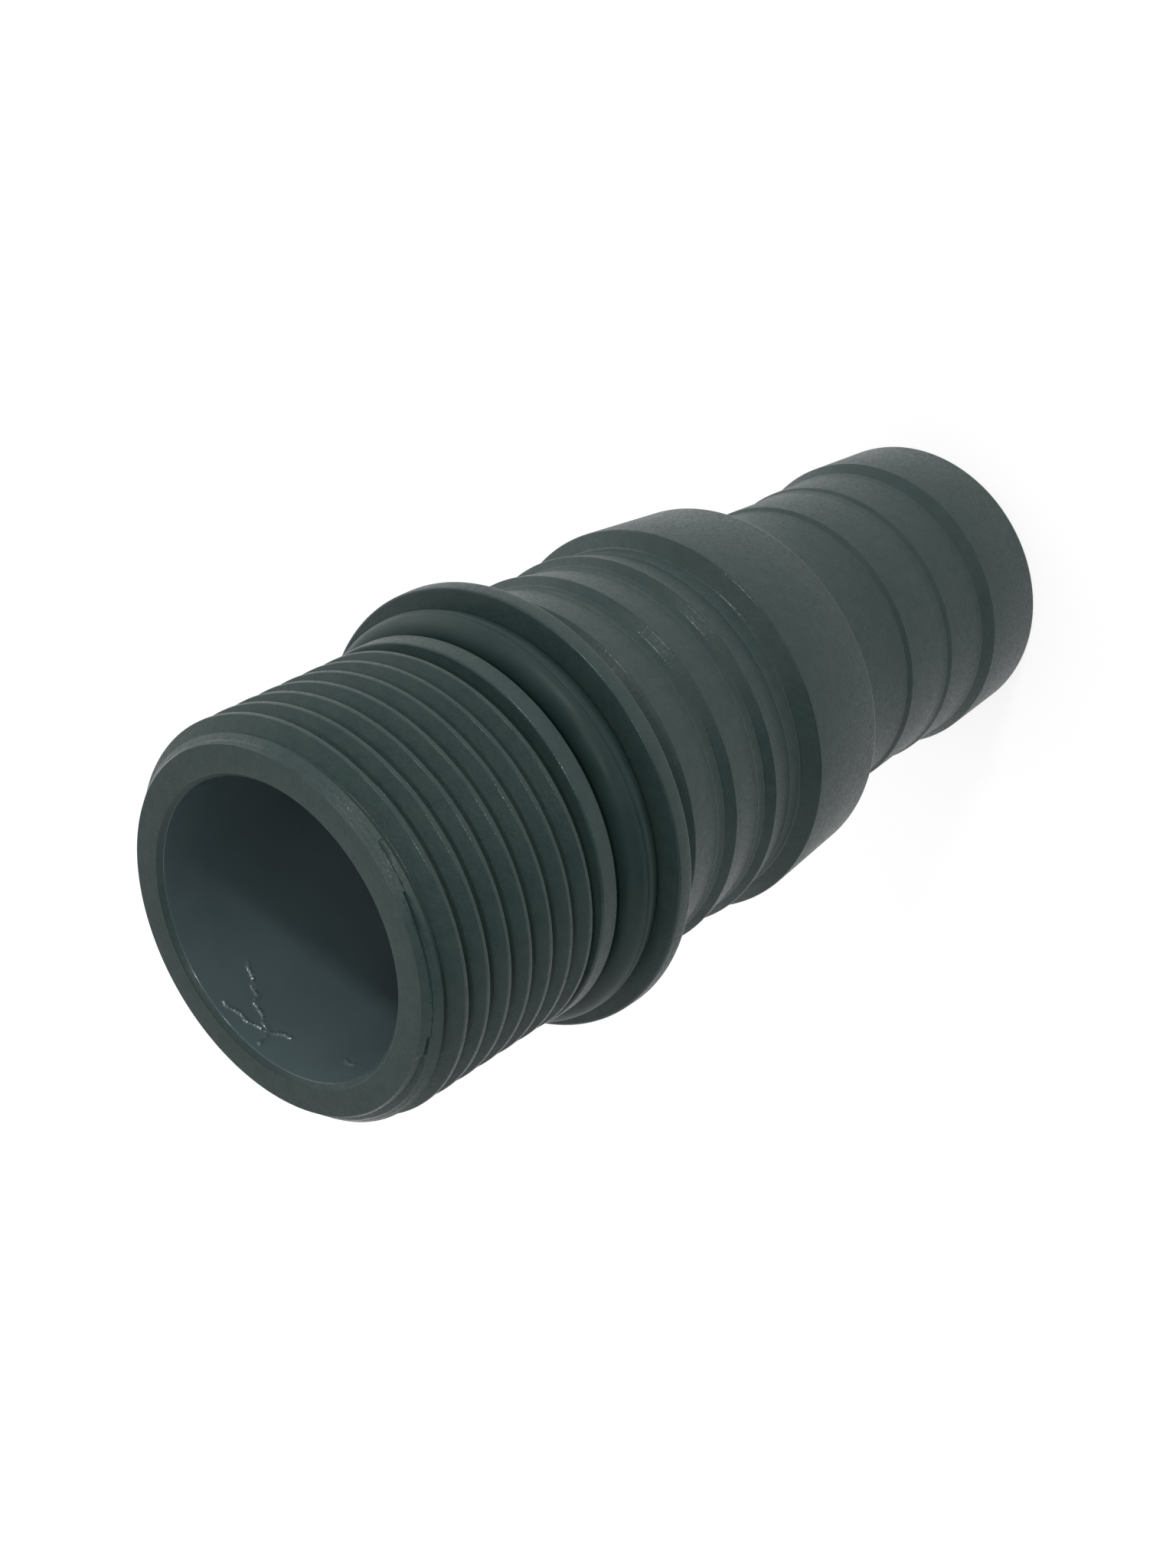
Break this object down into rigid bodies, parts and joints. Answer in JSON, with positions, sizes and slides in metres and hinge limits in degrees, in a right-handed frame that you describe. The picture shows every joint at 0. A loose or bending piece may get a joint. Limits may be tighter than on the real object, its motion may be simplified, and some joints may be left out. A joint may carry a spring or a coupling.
{
  "type": "hose tail",
  "caption": "Stepped barbed hose tail with a coarse parallel male pipe thread at the mouth, a flange with a rubber sealing ring, and a plain through bore.",
  "frame": {"origin": "centre of the slim tail's end face, on the fitting's axis", "axes": "+Z along the axis towards the threaded mouth; -Y is the side with the mould's parting line, 8 degrees round from it"},
  "size_m": [0.038, 0.038, 0.0868],
  "materials": {
    "moulded_plastic": "spark-eroded satin",
    "ring_rubber": "smooth satin"
  },
  "bodies": {
    "root": {"hose_tail_body": "moulded_plastic", "sealing_ring": "ring_rubber"}
  },
  "joints": []
}
